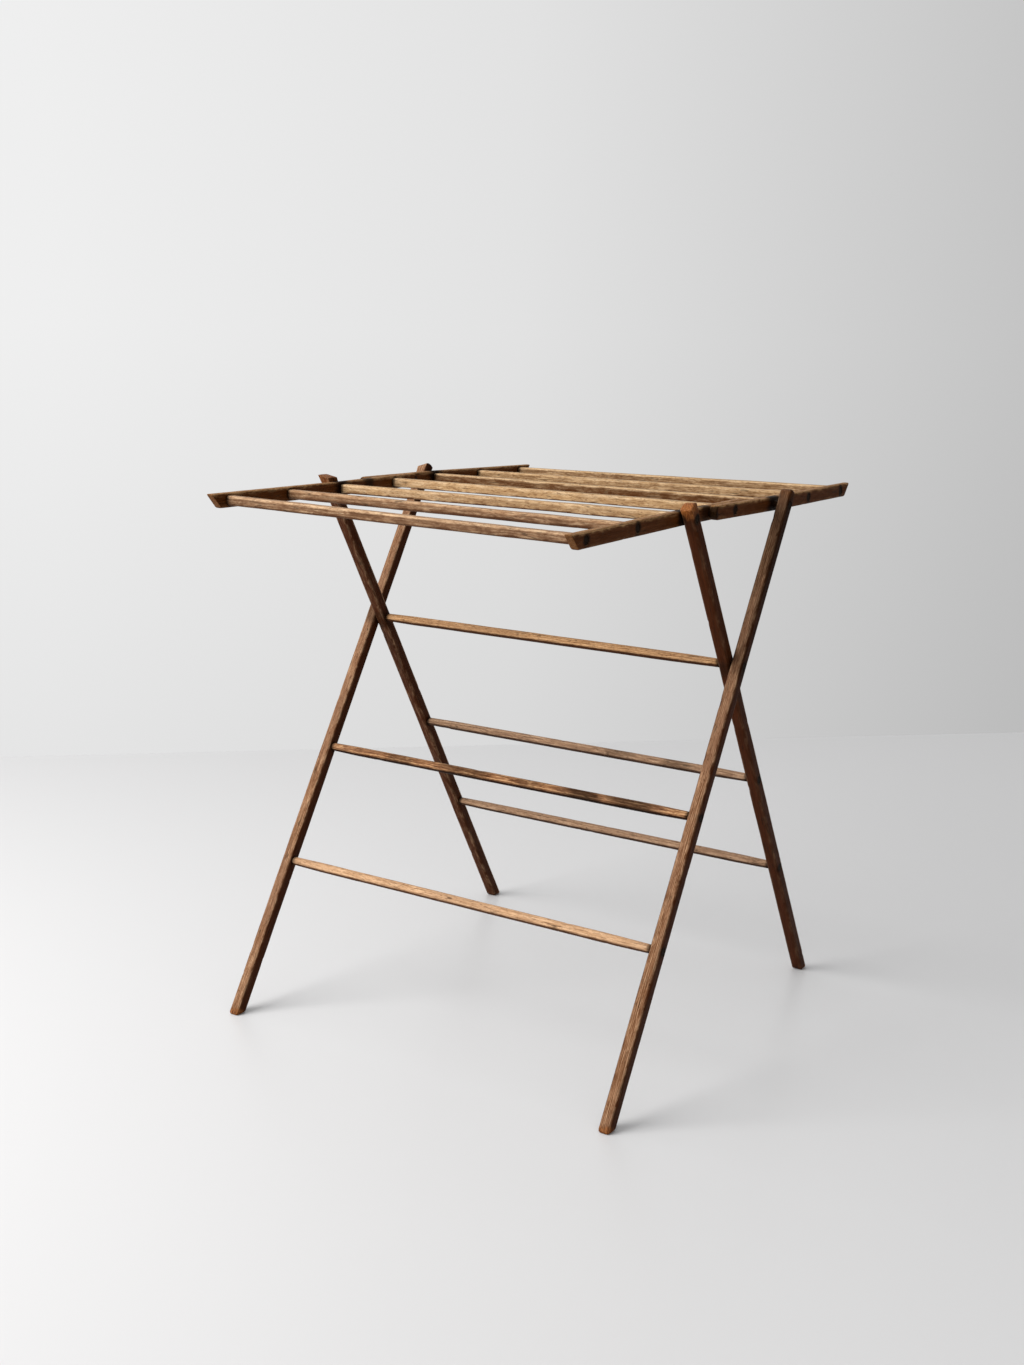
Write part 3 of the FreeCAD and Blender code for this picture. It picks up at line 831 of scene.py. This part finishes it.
TOP_HALF_WIDTH = 9 * MM - SKIN
TOP_HALF_HEIGHT = 8.5 * MM - SKIN
ROUND_HALF = 8.5 * MM - SKIN
ROUND_END = 7.5 * MM - SKIN
ROUND_TAPER = 60 * MM
PLAY = 0.4 * MM  # between the shoulder of a turning rung and the rail or leg beside it
SHAVING = 0.35 * MM
SHAVING_LENGTH = 120 * MM
BEVEL_WAVE = 0.25
BEVEL_WAVE_LENGTH = 70 * MM


def square_sizes(seed, edge):
    """The sizes of a hand-planed top rung, with edges this large."""
    def wave(at, length, row):
        return noise.noise((at / length, seed, row))

    def sizes(at):
        shave = SHAVING * (1 + wave(at, SHAVING_LENGTH, 5))
        plane = SHAVING * (1 + wave(at, SHAVING_LENGTH, 9))
        bevel = edge * (1 + BEVEL_WAVE * wave(at, BEVEL_WAVE_LENGTH, 2))
        return TOP_HALF_WIDTH - shave, TOP_HALF_HEIGHT - plane, bevel
    return sizes


def round_sizes(shoulder):
    """The sizes of a round rung, which narrows towards its shoulders."""
    def sizes(at):
        share = min(max((shoulder - abs(at)) / ROUND_TAPER, 0), 1)
        half = ROUND_END + (ROUND_HALF - ROUND_END) * share
        return half, half, half
    return sizes


front_shoulder = inner_face("front_rail_right")
rear_shoulder = inner_face("rear_rail_right")
outer_shoulder = inner_face("outer_leg_right")
inner_shoulder = inner_face("inner_leg_right")

# name, body, shoulder, colours, edge in mm and lift, which is bleaching with painted light and
# shade
top_rungs = (
    ("front_edge_rung", "front_half", front_shoulder, DULL, 3.8, 0.0),
    ("front_middle_rung", "front_half", front_shoulder, DULL, 4.8, 0.0),
    ("front_pivot_rung", "inner_legs", front_shoulder - PLAY, HONEY, 3.2, 0.12),
    ("hinge_rung", "front_half", front_shoulder, HONEY, 2.8, 0.2),
    ("rear_pivot_rung", "outer_legs", rear_shoulder - PLAY, HONEY, 3.2, -0.12),
    ("rear_middle_rung", "rear_half", rear_shoulder, HONEY, 3.4, 0.06),
    ("rear_edge_rung", "rear_half", rear_shoulder, HONEY, 3.2, 0.0),
)
for number, (name, body, shoulder, colours, edge, front_light_and_bleach) in enumerate(top_rungs):
    seed = 51 + number
    make_rung(name, body, "top_rung_wood", shoulder, square_sizes(seed, edge * MM),
              colours, seed, front_light_and_bleach=front_light_and_bleach)

DARK_STAINS = tuple((at * MM, reach * MM, strength) for at, reach, strength in (
    (-205, 46, 0.45), (-70, 60, 0.5), (60, 40, 0.4), (165, 50, 0.75), (255, 60, 0.7)))
# name, body, shoulder, colours, contrast and stains
leg_rungs = (
    ("outer_leg_upper_rung", "outer_legs", outer_shoulder, DARK_ROUND, 1.2, DARK_STAINS),
    ("outer_leg_lower_rung", "outer_legs", outer_shoulder, PALE_ROUND, 0.7, ()),
    ("inner_leg_upper_rung", "inner_legs", inner_shoulder, GREY_ROUND, 0.9,
     ((80 * MM, 50 * MM, 0.35), (200 * MM, 40 * MM, 0.35))),
    ("inner_leg_lower_rung", "inner_legs", inner_shoulder, GREY_ROUND, 0.7, ()),
    ("leg_pivot_rung", "outer_legs", inner_shoulder - PLAY, BROWN_ROUND, 0.8, ()),
)
for number, (name, body, shoulder, colours, contrast, stains) in enumerate(leg_rungs):
    make_rung(name, body, "leg_rung_wood", shoulder, round_sizes(shoulder), colours,
              71 + number, chips=8, waver=0.4, contrast=contrast, stains=stains)

TENON_WAVER = 0.2 * MM
for number, side in enumerate(("left", "right")):
    name = "hinge_tenon_" + side
    seed = 81 + number
    half = size(name).x / 2 - TENON_RECESS
    place = local_frame(middle(name), RIGHT, UP)
    stick = Stick()
    start_tenon(stick, -half, half - TENON_ROUND - STEP)
    stick.round_end(half, 1, TENON_SIZES, TENON_ROUND, TENON_END_ROUGH)
    piece = mesh_from(name + "_wood", shape_rings(stick, seed, TENON_WAVER, RIDGES, 0))
    finish_normals(piece)
    paint(piece, place, TENON, TENON, seed, tenons_from=-1)
    piece.data.materials.append(wood(name + "_wood", seed, **BROWN))
    keep(piece, "rear_half", "tenon_wood", name)


# ---------------------------------------------------------------- floor, light and camera

FLOOR_REACH = 9.0
WALL_LINE = 1.75  # how far behind the rack the floor ends
WALL_TURN = math.radians(42.8)
FLOOR_COLOUR = (0.645, 0.645, 0.65, 1)
FLOOR_ROUGHNESS = 0.35
FLOOR_GLOSS = 0.35


def make_floor():
    """A pale, slightly glossy floor, with its far edge where a room's wall would stand."""
    mesh = bmesh.new()
    turn = Matrix.Rotation(WALL_TURN, 4, "Z")
    corners = ((-FLOOR_REACH, -FLOOR_REACH), (FLOOR_REACH, -FLOOR_REACH),
               (FLOOR_REACH, WALL_LINE), (-FLOOR_REACH, WALL_LINE))
    mesh.faces.new([mesh.verts.new(turn @ Vector((x, y, 0))) for x, y in corners])
    data = bpy.data.meshes.new("floor")
    mesh.to_mesh(data)
    mesh.free()
    floor = bpy.data.objects.new("floor", data)
    bpy.context.scene.collection.objects.link(floor)
    material = bpy.data.materials.new("painted_floor")
    material.use_nodes = True
    shader = material.node_tree.nodes["Principled BSDF"]
    shader.inputs["Base Color"].default_value = FLOOR_COLOUR
    shader.inputs["Roughness"].default_value = FLOOR_ROUGHNESS
    shader.inputs["Specular IOR Level"].default_value = FLOOR_GLOSS
    data.materials.append(material)


LIGHT_PLACE = Vector((-2.0, -2.55, 2.5))
LIGHT_AIM = Vector((0, 0, 0.5))
LIGHT_SIZE = (2.6, 2.2)
LIGHT_POWER = 150  # in watts
LIGHT_COLOUR = (1.0, 0.985, 0.97)


def make_light():
    """A soft light from the front left, as large as a window."""
    lamp = bpy.data.lights.new("window", "AREA")
    lamp.shape = "RECTANGLE"
    lamp.size, lamp.size_y = LIGHT_SIZE
    lamp.energy = LIGHT_POWER
    lamp.color = LIGHT_COLOUR
    light = bpy.data.objects.new("window", lamp)
    light.location = LIGHT_PLACE
    aim = LIGHT_AIM - LIGHT_PLACE
    light.rotation_euler = aim.to_track_quat("-Z", "Y").to_euler()
    bpy.context.scene.collection.objects.link(light)


GLOW_SLOPE = (0.42, 0.27, 0)  # the way in which the room gets darker
GLOW_LEFT = (1.0, 1.01, 1.02, 1)
GLOW_BETWEEN = ((0.365, 0.86), (0.5, 0.76), (0.64, 0.56))  # place and brightness
GLOW_RIGHT = (0.16, 0.155, 0.15, 1)
LOW_GLOW = 0.91  # the brightness below the floor line, where the room's is 1
LOW_GLOW_FROM = -0.25


def make_room_glow():
    """Soft light from all round, brighter on the left than on the right."""
    world = bpy.data.worlds.new("room")
    world.use_nodes = True
    tree = world.node_tree
    tree.nodes.clear()
    direction = put(tree, "TexCoord").outputs["Generated"]
    sideways = put(tree, "VectorMath", {0: direction, 1: GLOW_SLOPE},
                   operation="DOT_PRODUCT").outputs["Value"]
    fall = put(tree, "ValToRGB", {0: total(tree, sideways, 0.5)})
    ramp = fall.color_ramp
    ramp.elements[0].color = GLOW_LEFT
    ramp.elements[1].color = GLOW_RIGHT
    for position, level in GLOW_BETWEEN:
        ramp.elements.new(position).color = (level, level, level, 1)
    height = put(tree, "SeparateXYZ", {0: direction}).outputs["Z"]
    low_wall = put(tree, "MapRange", {"Value": height, "From Min": LOW_GLOW_FROM,
                                      "From Max": 0.0, "To Min": LOW_GLOW,
                                      "To Max": 1.0}).outputs[0]
    colour = put(tree, "VectorMath", {0: fall.outputs[0], 3: low_wall},
                 operation="SCALE").outputs[0]
    glow = put(tree, "Background", {"Color": colour, "Strength": 1.0})
    put(tree, "OutputWorld", {"Surface": glow.outputs[0]})
    bpy.context.scene.world = world


CAMERA_PLACE = Vector((1.4327, -2.3166, 1.1574))
CAMERA_YAW = math.radians(-32.843)
CAMERA_PITCH = math.radians(-12.249)
CAMERA_ROLL = math.radians(1.127)
LENS = 42.6
SENSOR = 36


def make_camera():
    data = bpy.data.cameras.new("camera")
    data.lens = LENS
    data.sensor_width = SENSOR
    camera = bpy.data.objects.new("camera", data)
    camera.matrix_world = (Matrix.Translation(CAMERA_PLACE)
                           @ Matrix.Rotation(-CAMERA_YAW, 4, "Z")
                           @ Matrix.Rotation(QUARTER_TURN + CAMERA_PITCH, 4, "X")
                           @ Matrix.Rotation(CAMERA_ROLL, 4, "Z"))
    bpy.context.scene.collection.objects.link(camera)
    bpy.context.scene.camera = camera


make_floor()
make_light()
make_room_glow()
make_camera()
bpy.context.scene.view_settings.view_transform = "Standard"

bpy.context.view_layer.update()
